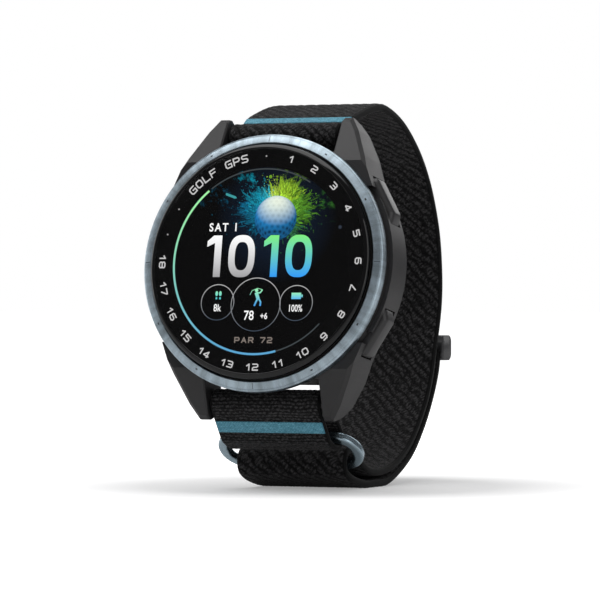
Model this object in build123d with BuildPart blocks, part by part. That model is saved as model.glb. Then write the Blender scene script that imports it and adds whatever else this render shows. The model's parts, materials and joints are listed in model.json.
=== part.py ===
"""Golf GPS watch standing on its closed strap loop, dial tilted back. Millimetres, +Z up.

The origin is the point where the strap loop rests on the ground, on the plane of symmetry.
The dial looks towards -Y and slightly upwards. Pieces of the watch head are placed on the
dial plane (local x to 3 o'clock, local y to 12 o'clock, local z out of the dial); the strap
is drawn in the upright YZ plane and extruded along X.
"""

import os
from math import cos, radians, sin

from build123d import *

# Driving dimensions: watch head
DIAL_TILT = 9.6
DIAL_CENTRE = (0, -26, 38)
BEZEL_R = 21.5
BEZEL_BORE_R = 19.78
LENS_R = 19.55
LENS_FLAT_R = 18.1
LENS_TOP = 0.85
DISPLAY_R = 15.7
DISPLAY_REAR = -1.05
NUMBER_RING_R = 19.5
NUMBER_RING_REAR = -0.35
CASE_R = 21.3
CASE_TOP = -2.65
CASE_REAR = -9.6
COLLAR_R = 19.7
COLLAR_TOP = -0.95
FRAME_BAY_R = 18.2
CORE_R = 17.0
CORE_TOP = -2.4
CORE_REAR = -8.2
CORE_FLAT = 16.6
END_WALL = 18.9
LUG_GAP = 20.6
GUARD_R = 22.1
POST_R = 1.7
POST_PITCH = 22.0
SCREW_R = 0.6
SCREW_HEAD_R = 1.1
SCREW_HEAD_T = 0.55
COVER_INNER = -8.6
SENSOR_R = 7.5
SENSOR_FACE = -10.5
LED_PITCH_R = 3.2
PORT_Y = -12.0
CONTACT_PITCH = 1.2
CONTACT_R = 0.35
BOARD_REAR = -4.4
BOARD_T = 0.8
BOARD_FRONT = -3.58
CHIP_T = 1.1
FLEX_Y = 12.85
MOTOR_X = -12.1
MOTOR_R = 3.5

# Driving dimensions: buttons, as distances from the dial axis
BUTTON_ANGLE = 30.0
BUTTON_DEPTH = 6.5
BUTTON_WIDTH = 4.0
BUTTON_HALF = 4.3
BUTTON_GAP = 0.12
BUTTON_FACE = 22.9
BUTTON_BASE = 20.3
BUTTON_FLOOR = 19.7
SEAL_SEAT = 18.0
SEAL_T = 0.45
SPRING_WELL_R = 1.75
STEM_R = 0.75
STEM_END = 16.2
CLIP_SEAT = 16.4
SWITCH_FACE = 15.7
SWITCH_BAND_R = 14.75
BUTTON_SPRING_R = 1.2
BUTTON_WIRE_R = 0.13

# Driving dimensions: strap and its hardware
STRAP_WIDTH = 19.8
STRAP_T = 1.3
BAR_OFFSET = 22.4
BAR_DEPTH = 8.0
BAR_LENGTH = 18.8
BAR_TUBE_R = 0.75
BAR_BORE_R = 0.45
BAR_TIP_R = 0.40
BAR_TIP_OUT = 1.0
LUG_HOLE_R = 0.44
RELEASE_TRAVEL = 1.1
RELEASE_TURN = 50.0
KNOB_R = 0.32
KNOB_SLOT_IN = 1.0
PIN_END = 5.0
FIXED_TIP_END = 1.4
BAR_SPRING_R = 0.27
BAR_WIRE_R = 0.12
SLEEVE_R = 2.35
LOOP_BORE_R = 1.20
LOOP_R = 2.15
RING_LENGTH = 25.9
RING_HEIGHT = 8.7
RING_BAR = 1.8
RING_T = 1.5
RING_INNER_R = 2.0
RING_TILT = 40.0
RING_HOLD = (-15.9, 8.9)
FOLD_CENTRE = (-10.85, 4.5)
FOLD_R = 2.15
FOLD_IN = 62.0
FOLD_OUT = 250.0
FOLD_TAIL = 0.9
FLAP_GAP = 0.2
PATCH_T = 0.2
STRIPE_T = 0.3
STRIPE_FIT = 0.02

dial = Plane(
    origin=DIAL_CENTRE,
    x_dir=(1, 0, 0),
    z_dir=(0, -cos(radians(DIAL_TILT)), sin(radians(DIAL_TILT))),
)
head_side = Plane(origin=dial.origin, x_dir=dial.y_dir, z_dir=dial.x_dir)
dial_axis = Axis(dial.origin, dial.z_dir)
upper_bar = dial.from_local_coords((0, BAR_OFFSET, -BAR_DEPTH))
lower_bar = dial.from_local_coords((0, -BAR_OFFSET, -BAR_DEPTH))

# Centre lines of the strap layers, as (Y, Z)
long_path = [
    (-13.3, 60.0), (-11.4, 60.4), (-9.35, 61.65), (-5.8, 62.75), (-0.2, 64.0), (4.0, 64.25),
    (12.3, 61.9), (19.8, 57.1), (24.4, 52.2), (27.4, 47.1), (29.3, 42.0), (30.2, 34.2),
    (29.5, 29.0), (28.0, 24.5), (25.3, 17.0), (21.9, 12.2), (16.9, 7.5), (13.2, 5.25),
    (7.7, 3.2), (2.0, 2.5), (-2.0, 2.8), (-5.3, 4.0), (-7.95, 5.4),
]
flap_back_path = [
    (4.0, 0.65), (5.4, 0.76), (8.3, 1.5), (14.1, 3.8), (17.9, 6.1), (23.2, 11.1), (26.9, 16.1),
    (28.7, 19.6), (29.4, 22.6),
]
flap_front_path = [(-7.6, 1.3), (-4.4, 0.76), (-3.0, 0.65)]


def save(piece, name):
    """Label one finished piece and write its STEP file."""
    piece.part.label = name
    export_step(piece.part, f"parts/{name}.step")


def flat_circle(radius, flat):
    """Sketch of a circle cut by two flats that face 12 and 6 o'clock."""
    with BuildSketch(mode=Mode.PRIVATE) as outline:
        Circle(radius)
        Rectangle(3 * radius, 2 * flat, mode=Mode.INTERSECT)
    return outline.sketch


def disc(name, radius, low, high):
    """A plain disc on the dial axis, between two heights above the dial plane."""
    with BuildPart() as piece:
        with BuildSketch(dial.offset(low)):
            Circle(radius)
        extrude(amount=high - low)
    save(piece, name)


def washer(name, radius, bore, low, high):
    """A flat ring on the dial axis, between two heights above the dial plane."""
    with BuildPart() as piece:
        with BuildSketch(dial.offset(low)):
            Circle(radius)
            Circle(bore, mode=Mode.SUBTRACT)
        extrude(amount=high - low)
    save(piece, name)


def block(name, x, y, low, size, radius=0.4):
    """A box with rounded corners standing on a height above the dial plane."""
    with BuildPart() as piece:
        with BuildSketch(dial.offset(low)):
            with Locations((x, y)):
                RectangleRounded(size[0], size[1], radius)
        extrude(amount=size[2])
    save(piece, name)


def button_plane(angle):
    """Plane square to a button's travel: local x out of the dial, local z outwards."""
    level = dial.offset(-BUTTON_DEPTH)
    outward = level.x_dir * cos(radians(angle)) + level.y_dir * sin(radians(angle))
    return Plane(origin=level.origin, x_dir=level.z_dir, z_dir=outward)


def beside(path, distance, start=0.0, end=1.0, steps=40):
    """Points beside a path, at a distance to its left, between two fractions of it."""
    points = []
    for step in range(steps + 1):
        along = start + (end - start) * step / steps
        here = path @ along
        heading = path % along
        points.append((here.X - heading.Y * distance, here.Y + heading.X * distance))
    return points


def layer(path, low, high, start=0.0, end=1.0, steps=40):
    """Sketch of the band between two distances to the left of a path."""
    with BuildSketch(mode=Mode.PRIVATE) as band:
        with BuildLine():
            near = Spline(*beside(path, low, start, end, steps))
            far = Spline(*beside(path, high, start, end, steps))
            Line(near @ 0, far @ 0)
            Line(near @ 1, far @ 1)
        make_face()
    return band.sketch


def private_spline(points):
    """A spline that stays out of the sketch it is made in."""
    return Spline(*points, mode=Mode.PRIVATE)


def on_circle(centre, radius, angle):
    """Point on a circle in the YZ plane, the angle counted from +Y towards +Z."""
    turn = radians(angle)
    return (centre[0] + radius * cos(turn), centre[1] + radius * sin(turn))


def lug_edges(part, inner_x, outer_x):
    """Front edges of the four lugs whose middles lie between two distances from 12 to 6."""
    chosen = []
    for edge in part.edges():
        middle = dial.to_local_coords(edge.center())
        in_span = inner_x < abs(middle.X) < outer_x
        if in_span and abs(middle.Y) > 17.5 and middle.Z > -6.6 and edge.length > 1.0:
            chosen.append(edge)
    return chosen


def make_case():
    """Polymer shell with four lugs, a guard between the buttons and a rear opening."""
    with BuildPart() as case:
        with BuildSketch(dial.offset(CASE_REAR - 1)):
            Circle(CASE_R)
            with BuildLine():
                Polyline((0, 13), (18, 13), (15.9, 18.2), (13.6, 22.9), (12, 25.3), (0, 25.3), (0, 13))
            make_face()
            mirror(about=Plane.YZ)
            mirror(about=Plane.XZ)
        extrude(amount=CASE_TOP - CASE_REAR + 1)
        with BuildSketch(head_side):
            with BuildLine():
                Polyline(
                    (0, CASE_TOP), (17.3, CASE_TOP), (24.7, -6.0), (25.3, -6.9), (25.3, -7.6),
                    (24.4, -9.4), (22.6, -10.5), (19.0, -10.6), (15.0, CASE_REAR), (0, CASE_REAR),
                    (0, CASE_TOP),
                )
            make_face()
            mirror(about=Plane.YZ)
        extrude(amount=30, both=True, mode=Mode.INTERSECT)
        with BuildSketch(dial.offset(-12)):
            with Locations((0, END_WALL + 10), (0, -END_WALL - 10)):
                Rectangle(LUG_GAP, 20)
        extrude(amount=12 - 3.3, mode=Mode.SUBTRACT)
        chamfer(lug_edges(case.part, 12.5, 17.0), 0.55)
        chamfer(lug_edges(case.part, 10.2, 10.4), 0.25)
        with BuildSketch(dial.offset(CASE_REAR)):
            Circle(GUARD_R)
            with Locations((GUARD_R / 2, 0)):
                Rectangle(GUARD_R, 2 * GUARD_R * sin(radians(BUTTON_ANGLE)), mode=Mode.INTERSECT)
        extrude(amount=-CASE_REAR - 3.6)
        with BuildSketch(dial.offset(CASE_TOP)):
            Circle(COLLAR_R)
        extrude(amount=COLLAR_TOP - CASE_TOP)
        with BuildSketch(dial.offset(CASE_REAR)):
            add(flat_circle(FRAME_BAY_R, CORE_FLAT + 1))
        extrude(amount=CORE_REAR - CASE_REAR, mode=Mode.SUBTRACT)
        with BuildSketch(dial.offset(CORE_REAR)):
            add(flat_circle(CORE_R, CORE_FLAT))
            with GridLocations(POST_PITCH, POST_PITCH, 2, 2):
                Circle(POST_R, mode=Mode.SUBTRACT)
        extrude(amount=CORE_TOP - CORE_REAR, mode=Mode.SUBTRACT)
        with BuildSketch(dial.offset(CORE_TOP)):
            Circle(FRAME_BAY_R)
        extrude(amount=3, mode=Mode.SUBTRACT)
        for angle in (BUTTON_ANGLE, -BUTTON_ANGLE):
            seat = button_plane(angle)
            with BuildSketch(seat.offset(BUTTON_FLOOR)):
                Rectangle(BUTTON_WIDTH + 2 * BUTTON_GAP, 2 * (BUTTON_HALF + BUTTON_GAP))
            extrude(amount=6, mode=Mode.SUBTRACT)
            with BuildSketch(seat.offset(SEAL_SEAT)):
                Circle(SPRING_WELL_R)
            extrude(amount=3, mode=Mode.SUBTRACT)
            with BuildSketch(seat.offset(CORE_R - 3)):
                Circle(STEM_R + 0.05)
            extrude(amount=5, mode=Mode.SUBTRACT)
        with BuildSketch(head_side.offset(-LUG_GAP / 2 - BAR_TIP_OUT - 0.3)):
            with Locations((BAR_OFFSET, -BAR_DEPTH), (-BAR_OFFSET, -BAR_DEPTH)):
                Circle(LUG_HOLE_R)
        extrude(amount=LUG_GAP + 2 * BAR_TIP_OUT + 0.6, mode=Mode.SUBTRACT)
        with BuildSketch(dial.offset(CORE_REAR)):
            with GridLocations(POST_PITCH, POST_PITCH, 2, 2):
                Circle(SCREW_R + 0.02)
        extrude(amount=2.8, mode=Mode.SUBTRACT)
    save(case, "case")


def make_bezel():
    """Metal ring around the glass: bright inner chamfer, sloped top and thin outer rim."""
    with BuildPart() as bezel:
        with BuildSketch(head_side):
            with BuildLine():
                Polyline(
                    (BEZEL_BORE_R, -2.6), (BEZEL_BORE_R, -0.55), (20.2, -0.28), (21.15, -1.05),
                    (BEZEL_R, -1.55), (BEZEL_R, -2.35), (BEZEL_R - 0.25, -2.6), (BEZEL_BORE_R, -2.6),
                )
            make_face()
        revolve(axis=dial_axis)
    save(bezel, "bezel")


def make_lens():
    """Cover glass with a flat centre and a rounded rim."""
    with BuildPart() as lens:
        with BuildSketch(head_side):
            with BuildLine():
                Polyline((LENS_R, 0.3), (LENS_R, 0.1), (0, 0.1), (0, LENS_TOP), (LENS_FLAT_R, LENS_TOP))
                TangentArc((LENS_FLAT_R, LENS_TOP), (LENS_R, 0.3), tangent=(1, 0))
            make_face()
        revolve(axis=dial_axis)
    save(lens, "lens")


def make_display_frame():
    """Carrier under the display, with a shallow tray and a slot for the flex."""
    with BuildPart() as frame:
        with BuildSketch(dial.offset(CORE_TOP + 0.05)):
            Circle(FRAME_BAY_R - 0.1)
        extrude(amount=-CORE_TOP - 0.05 - 0.4)
        with BuildSketch(dial.offset(DISPLAY_REAR - 0.05)):
            Circle(DISPLAY_R + 0.1)
        extrude(amount=2, mode=Mode.SUBTRACT)
        with BuildSketch(dial.offset(-3)):
            with Locations((0, FLEX_Y)):
                Rectangle(6.4, 0.7)
        extrude(amount=3, mode=Mode.SUBTRACT)
    save(frame, "display_frame")


def make_main_board():
    """Circuit board, notched round the four screw posts."""
    with BuildPart() as board:
        with BuildSketch(dial.offset(BOARD_REAR)):
            add(flat_circle(CORE_R - 0.3, CORE_FLAT - 0.3))
            with GridLocations(POST_PITCH, POST_PITCH, 2, 2):
                Circle(POST_R + 0.3, mode=Mode.SUBTRACT)
        extrude(amount=BOARD_T)
    save(board, "main_board")


def make_rear_cover():
    """Rear plate with counterbored screw holes, a sensor hole and a charging opening."""
    with BuildPart() as cover:
        with BuildSketch(dial.offset(CASE_REAR)):
            add(flat_circle(FRAME_BAY_R - 0.05, CORE_FLAT + 0.95))
            Circle(SENSOR_R + 0.1, mode=Mode.SUBTRACT)
            with Locations((0, PORT_Y)):
                Rectangle(6.2, 3.2, mode=Mode.SUBTRACT)
        extrude(amount=COVER_INNER - CASE_REAR)
        with BuildSketch(dial.offset(CASE_REAR)):
            with GridLocations(POST_PITCH, POST_PITCH, 2, 2):
                Circle(2 * SCREW_R)
        extrude(amount=0.65, mode=Mode.SUBTRACT)
        with BuildSketch(dial.offset(CASE_REAR)):
            with GridLocations(POST_PITCH, POST_PITCH, 2, 2):
                Circle(SCREW_R + 0.05)
        extrude(amount=2, mode=Mode.SUBTRACT)
    save(cover, "rear_cover")


def make_rear_seal():
    """Flat gasket between the rear cover and the case."""
    with BuildPart() as seal:
        with BuildSketch(dial.offset(COVER_INNER + 0.02)):
            add(flat_circle(FRAME_BAY_R - 0.1, CORE_FLAT + 0.9))
            add(flat_circle(CORE_R + 0.1, CORE_FLAT + 0.1), mode=Mode.SUBTRACT)
        extrude(amount=CORE_REAR - COVER_INNER - 0.04)
    save(seal, "rear_cover_seal")


def make_screws():
    """Four rear cover screws with hexagonal recesses."""
    with BuildPart() as screws:
        with BuildSketch(dial.offset(CASE_REAR + 0.1)):
            with GridLocations(POST_PITCH, POST_PITCH, 2, 2):
                Circle(SCREW_HEAD_R)
        extrude(amount=SCREW_HEAD_T)
        with BuildSketch(dial.offset(CASE_REAR + 0.1 + SCREW_HEAD_T)):
            with GridLocations(POST_PITCH, POST_PITCH, 2, 2):
                Circle(SCREW_R)
        extrude(amount=3.1)
        with BuildSketch(dial.offset(CASE_REAR + 0.1)):
            with GridLocations(POST_PITCH, POST_PITCH, 2, 2):
                RegularPolygon(SCREW_HEAD_R / 2, 6)
        extrude(amount=0.3, mode=Mode.SUBTRACT)
    save(screws, "rear_cover_screws")


def make_sensor():
    """Optical sensor: domed window with a pocket, its board and four light emitters."""
    with BuildPart() as window:
        with BuildSketch(dial.offset(SENSOR_FACE)):
            Circle(SENSOR_R)
        extrude(amount=COVER_INNER - SENSOR_FACE)
        chamfer(window.edges().sort_by(dial_axis)[0], 0.7)
        with BuildSketch(dial.offset(COVER_INNER)):
            Circle(SENSOR_R - 1.5)
        extrude(amount=-1.0, mode=Mode.SUBTRACT)
    save(window, "sensor_window")
    disc("sensor_board", SENSOR_R - 0.6, COVER_INNER + 0.02, COVER_INNER + 0.45)
    with BuildPart() as emitters:
        with BuildSketch(dial.offset(COVER_INNER)):
            with PolarLocations(LED_PITCH_R, 4, 45):
                Rectangle(1.4, 1.4)
        extrude(amount=-0.5)
    save(emitters, "sensor_leds")


def make_charge_port():
    """Charging socket insert with four spring contacts."""
    with BuildPart() as insert:
        with BuildSketch(dial.offset(CASE_REAR + 0.05)):
            with Locations((0, PORT_Y)):
                Rectangle(6.0, 3.0)
        extrude(amount=1.25)
        with BuildSketch(dial.offset(CASE_REAR + 0.05)):
            with Locations((0, PORT_Y)):
                RectangleRounded(5.2, 2.2, 0.5)
        extrude(amount=0.6, mode=Mode.SUBTRACT)
        with BuildSketch(dial.offset(CASE_REAR)):
            with Locations((0, PORT_Y)):
                with GridLocations(CONTACT_PITCH, 1.0, 4, 1):
                    Circle(CONTACT_R + 0.02)
        extrude(amount=2, mode=Mode.SUBTRACT)
    save(insert, "charge_port_insert")
    with BuildPart() as contacts:
        with BuildSketch(dial.offset(CASE_REAR + 0.25)):
            with Locations((0, PORT_Y)):
                with GridLocations(CONTACT_PITCH, 1.0, 4, 1):
                    Circle(CONTACT_R)
        extrude(amount=1.05)
    save(contacts, "charge_contacts")


def make_switch_band():
    """Curved flex band that carries the two button switches."""
    with BuildPart() as band:
        with BuildSketch(dial.offset(-8.0)):
            Circle(SWITCH_BAND_R)
            Circle(SWITCH_BAND_R - 0.4, mode=Mode.SUBTRACT)
            with Locations((SWITCH_BAND_R, 0)):
                Rectangle(8.0, 17.4, mode=Mode.INTERSECT)
        extrude(amount=3.0)
    save(band, "switch_flex")


def coil(name, plane, radius, wire_r, low, high, turns):
    """A compression spring along a plane's normal, between two distances from it."""
    start = plane.offset(low + wire_r)
    height = high - low - 2 * wire_r
    with BuildPart() as spring:
        with BuildLine() as helix:
            Helix(height / turns, height, radius, center=start.origin, direction=start.z_dir)
        with BuildSketch(Plane(origin=helix.line @ 0, z_dir=helix.line % 0)):
            RegularPolygon(wire_r, 8)
        sweep()
    save(spring, name)


def make_button(side, angle):
    """One push button: cap, stem, retaining clip, seal, return spring and dome switch."""
    seat = button_plane(angle)
    away = 1 if angle > 0 else -1
    profile = Plane(origin=seat.origin, x_dir=seat.y_dir * away, z_dir=seat.x_dir * away)
    with BuildPart() as cap:
        with BuildSketch(profile):
            with BuildLine():
                Polyline(
                    (-BUTTON_HALF, BUTTON_BASE), (BUTTON_HALF, BUTTON_BASE), (BUTTON_HALF, 21.7),
                    (2.9, BUTTON_FACE), (-3.6, BUTTON_FACE), (-BUTTON_HALF, 22.2),
                    (-BUTTON_HALF, BUTTON_BASE),
                )
            make_face()
        extrude(amount=BUTTON_WIDTH / 2, both=True)
        outer = cap.edges().filter_by(lambda edge: seat.to_local_coords(edge.center()).Z > 21.9)
        chamfer(outer.filter_by(lambda edge: abs(seat.to_local_coords(edge.center()).X) > 1.5), 0.6)
    save(cap, f"{side}_button")
    with BuildPart() as stem:
        with BuildSketch(seat.offset(STEM_END)):
            Circle(STEM_R)
        extrude(amount=BUTTON_BASE - STEM_END)
    save(stem, f"{side}_button_stem")
    with BuildPart() as clip:
        with BuildSketch(seat.offset(CLIP_SEAT)):
            Circle(1.4)
            Circle(STEM_R, mode=Mode.SUBTRACT)
        extrude(amount=0.35)
    save(clip, f"{side}_button_clip")
    with BuildPart() as seal:
        with BuildSketch(seat.offset(SEAL_SEAT)):
            Circle(SPRING_WELL_R - 0.05)
            Circle(STEM_R + 0.02, mode=Mode.SUBTRACT)
        extrude(amount=SEAL_T)
    save(seal, f"{side}_button_seal")
    coil(
        f"{side}_button_spring", seat, BUTTON_SPRING_R, BUTTON_WIRE_R,
        SEAL_SEAT + SEAL_T + 0.02, BUTTON_BASE - 0.02, 3,
    )
    with BuildPart() as switch:
        with BuildSketch(seat.offset(SWITCH_BAND_R + 0.02)):
            Rectangle(1.8, 2.6)
        extrude(amount=0.6)
        with BuildSketch(seat.offset(SWITCH_BAND_R + 0.62)):
            Circle(0.7)
        extrude(amount=SWITCH_FACE - SWITCH_BAND_R - 0.62)
    save(switch, f"{side}_button_switch")


def bar_plane(bar, turn):
    """Plane on a spring bar's axis: local x towards its release knob, local z along +X."""
    towards = Vector(0, cos(radians(turn)), sin(radians(turn)))
    return Plane(origin=bar, x_dir=towards, z_dir=(1, 0, 0))


def make_bar(side, bar, turn):
    """One quick-release spring bar: tube, fixed tip, sliding pin with knob and its spring."""
    axle = bar_plane(bar, turn)
    half = BAR_LENGTH / 2
    tip = LUG_GAP / 2 + BAR_TIP_OUT
    with BuildPart() as tube:
        with BuildSketch(axle.offset(-half)):
            Circle(BAR_TUBE_R)
            Circle(BAR_BORE_R, mode=Mode.SUBTRACT)
        extrude(amount=BAR_LENGTH)
        with BuildSketch(axle.offset(-half + KNOB_SLOT_IN)):
            with Locations((1, 0)):
                Rectangle(2, 2.5 * KNOB_R)
        extrude(amount=RELEASE_TRAVEL + 1.0, mode=Mode.SUBTRACT)
    save(tube, f"{side}_bar_tube")
    with BuildPart() as fixed:
        with BuildSketch(axle.offset(-FIXED_TIP_END)):
            Circle(BAR_TIP_R)
        extrude(amount=tip + FIXED_TIP_END)
    save(fixed, f"{side}_bar_tip")
    knob_x = -half + KNOB_SLOT_IN + KNOB_R + 0.13
    with BuildPart() as pin:
        with BuildSketch(axle.offset(-tip)):
            Circle(BAR_TIP_R)
        extrude(amount=tip - PIN_END)
        with BuildSketch(Plane(origin=axle.origin + axle.z_dir * knob_x, x_dir=axle.z_dir, z_dir=axle.x_dir)):
            Circle(KNOB_R)
        extrude(amount=SLEEVE_R + 0.4)
    save(pin, f"{side}_release_pin")
    coil(
        f"{side}_bar_spring", axle, BAR_SPRING_R, BAR_WIRE_R,
        -PIN_END + 0.02, -FIXED_TIP_END - 0.02, 7,
    )


def knob_notch(bar, turn):
    """Solid of the notch in a strap sleeve that lets the release knob out and along."""
    with BuildPart(mode=Mode.PRIVATE) as notch:
        with BuildSketch(bar_plane(bar, turn).offset(-STRAP_WIDTH)):
            with Locations((2, 0)):
                Rectangle(4, 1.2)
        extrude(amount=STRAP_WIDTH - BAR_LENGTH / 2 + RELEASE_TRAVEL + 2.0)
    return notch.part


def make_short_strap():
    """Lower strap half: sleeve for the spring bar at one end, loop for the ring at the other."""
    bar = (lower_bar.Y, lower_bar.Z)
    with BuildPart() as strap:
        with BuildSketch(Plane.YZ):
            with Locations(bar):
                Circle(SLEEVE_R)
            with Locations((-18.45, 9.6)):
                Circle(2.0)
            with Locations((-17.0, 8.3)):
                Circle(1.4)
            with Locations(RING_HOLD):
                Circle(LOOP_R)
            make_hull()
        extrude(amount=STRAP_WIDTH / 2, both=True)
        with BuildSketch(Plane.YZ):
            with Locations(bar):
                Circle(BAR_TUBE_R + 0.02)
            with Locations(RING_HOLD):
                Circle(LOOP_BORE_R)
            with BuildLine():
                Line(*lower_stripe_ends)
            trace(line_width=STRIPE_T + 2 * STRIPE_FIT)
        extrude(amount=STRAP_WIDTH, both=True, mode=Mode.SUBTRACT)
        add(knob_notch(lower_bar, RELEASE_TURN), mode=Mode.SUBTRACT)
    save(strap, "short_strap")


def make_stripe(name, ends):
    """Coloured stripe woven across the strap, standing slightly proud of it."""
    with BuildPart() as stripe:
        with BuildSketch(Plane.YZ):
            with BuildLine():
                Line(*ends)
            trace(line_width=STRIPE_T)
        extrude(amount=STRAP_WIDTH / 2 - 0.3, both=True)
    save(stripe, name)


def make_long_strap():
    """Upper strap half: sleeve, wrist loop, and the fold round the ring's lower bar."""
    fold_start = on_circle(FOLD_CENTRE, FOLD_R, FOLD_IN)
    fold_end = on_circle(FOLD_CENTRE, FOLD_R, FOLD_OUT)
    leaving = (-sin(radians(FOLD_OUT)), cos(radians(FOLD_OUT)))
    tail = (fold_end[0] + FOLD_TAIL * leaving[0], fold_end[1] + FOLD_TAIL * leaving[1])
    loop = layer(private_spline([*long_path, fold_start]), -STRAP_T / 2, STRAP_T / 2, steps=70)
    turn = CenterArc(FOLD_CENTRE, FOLD_R, FOLD_IN, FOLD_OUT - FOLD_IN, mode=Mode.PRIVATE)
    fold = layer(turn, -STRAP_T / 2, STRAP_T / 2)
    end = layer(Line(fold_end, tail, mode=Mode.PRIVATE), -STRAP_T / 2, STRAP_T / 2, steps=2)
    with BuildPart() as strap:
        with BuildSketch(Plane.YZ):
            add([loop, fold, end])
            with Locations((upper_bar.Y, upper_bar.Z)):
                Circle(SLEEVE_R)
        extrude(amount=STRAP_WIDTH / 2, both=True)
        with BuildSketch(Plane.YZ):
            with Locations((upper_bar.Y, upper_bar.Z)):
                Circle(BAR_TUBE_R + 0.02)
            with BuildLine():
                Line(*upper_stripe_ends)
            trace(line_width=STRIPE_T + 2 * STRIPE_FIT)
        extrude(amount=STRAP_WIDTH, both=True, mode=Mode.SUBTRACT)
        add(knob_notch(upper_bar, -RELEASE_TURN), mode=Mode.SUBTRACT)
    save(strap, "long_strap")
    return tail, leaving


def make_flap(tail, leaving):
    """Fold-back end of the long strap, its hook patch and the moulded end tab."""
    start = (tail[0] + FLAP_GAP * leaving[0], tail[1] + FLAP_GAP * leaving[1])
    back = private_spline(flap_back_path)
    front_band = layer(private_spline([start, *flap_front_path]), -STRAP_T / 2, STRAP_T / 2)
    back_band = layer(back, -STRAP_T / 2, STRAP_T / 2)
    hook_band = layer(back, STRAP_T / 2 + 0.01, STRAP_T / 2 + PATCH_T, 0.12, 0.8)
    clamped = layer(back, -STRAP_T / 2 - 0.01, STRAP_T / 2 + 0.01, 0.8, 1.0)
    with BuildPart() as flap:
        with BuildSketch(Plane.YZ):
            add([front_band, back_band])
            with BuildLine():
                Polyline((-3, 0), (4, 0), (4, STRAP_T), (-3, STRAP_T), (-3, 0))
            make_face()
        extrude(amount=STRAP_WIDTH / 2, both=True)
    save(flap, "strap_flap")
    with BuildPart() as patch:
        with BuildSketch(Plane.YZ):
            add(hook_band)
        extrude(amount=STRAP_WIDTH / 2 - 0.6, both=True)
    save(patch, "hook_patch")
    with BuildPart() as tab:
        with BuildSketch(Plane.YZ):
            with Locations((31.15, 23.2)):
                RectangleRounded(4.5, 4.4, 1.3)
        extrude(amount=STRAP_WIDTH / 2 + 0.5, both=True)
        with BuildSketch(Plane.YZ):
            add(clamped)
        extrude(amount=STRAP_WIDTH / 2 + 0.01, both=True, mode=Mode.SUBTRACT)
    save(tab, "end_tab")


def make_ring():
    """Metal ring that joins the strap halves, wider than the strap."""
    down = (cos(radians(RING_TILT)), -sin(radians(RING_TILT)))
    reach = (RING_HEIGHT - RING_BAR) / 2
    centre = (0, RING_HOLD[0] + reach * down[0], RING_HOLD[1] + reach * down[1])
    face = Plane(origin=centre, x_dir=(1, 0, 0), z_dir=(0, down[1], -down[0]))
    with BuildPart() as ring:
        with BuildSketch(face.offset(-RING_T / 2)):
            RectangleRounded(RING_LENGTH, RING_HEIGHT, RING_HEIGHT / 2 - 0.15)
            RectangleRounded(
                RING_LENGTH - 2 * RING_BAR, RING_HEIGHT - 2 * RING_BAR, RING_INNER_R,
                mode=Mode.SUBTRACT,
            )
        extrude(amount=RING_T)
        fillet(ring.edges().filter_by(lambda edge: edge.length > 1.0 and abs(edge.center().X) < 14), 0.45)
    save(ring, "strap_ring")


lower_stripe_ends = ((-22.45, 11.45), (-21.15, 9.85))
upper_stripe_ends = ((-11.15, 61.3), (-9.95, 62.05))

if __name__ == "__main__":
    os.makedirs("parts", exist_ok=True)
    make_case()
    make_bezel()
    make_lens()
    washer("number_ring", NUMBER_RING_R, DISPLAY_R + 0.08, NUMBER_RING_REAR, 0.0)
    washer("lens_gasket", NUMBER_RING_R, FRAME_BAY_R + 0.1, COLLAR_TOP + 0.02, NUMBER_RING_REAR - 0.02)
    disc("display_panel", DISPLAY_R, DISPLAY_REAR, -0.02)
    make_display_frame()
    block("display_flex", 0, FLEX_Y, BOARD_FRONT, (6.0, 0.15, 2.5), 0.05)
    make_main_board()
    block("shield_can", -4, -3, BOARD_FRONT, (12, 11, CHIP_T))
    block("gps_antenna", 9.5, -2, BOARD_FRONT, (8, 8, CHIP_T))
    block("battery", 0.5, 0, -8.05, (17, 17, 3.1), 1.5)
    block("battery_pad", 0.5, 0, -4.9, (14, 14, 0.45), 1.0)
    with BuildPart() as motor:
        with BuildSketch(dial.offset(-7.6)):
            with Locations((MOTOR_X, 0)):
                Circle(MOTOR_R)
        extrude(amount=2.6)
    save(motor, "vibration_motor")
    make_sensor()
    make_rear_cover()
    make_rear_seal()
    make_screws()
    make_charge_port()
    make_switch_band()
    make_button("upper", BUTTON_ANGLE)
    make_button("lower", -BUTTON_ANGLE)
    make_bar("upper", upper_bar, -RELEASE_TURN)
    make_bar("lower", lower_bar, RELEASE_TURN)
    make_short_strap()
    make_stripe("lower_stripe", lower_stripe_ends)
    make_stripe("upper_stripe", upper_stripe_ends)
    make_flap(*make_long_strap())
    make_ring()
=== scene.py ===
"""Golf GPS watch on its closed strap loop: the looks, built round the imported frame.

Lengths in this file are millimetres until they reach a mesh. The dial's own axes are x to
3 o'clock, y to 12 o'clock and z out of the dial.
"""
import json
from math import atan2, cos, degrees, hypot, pi, radians, sin, sqrt, tau

import bmesh
import bpy
import numpy as np
from mathutils import Matrix, Vector


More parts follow.
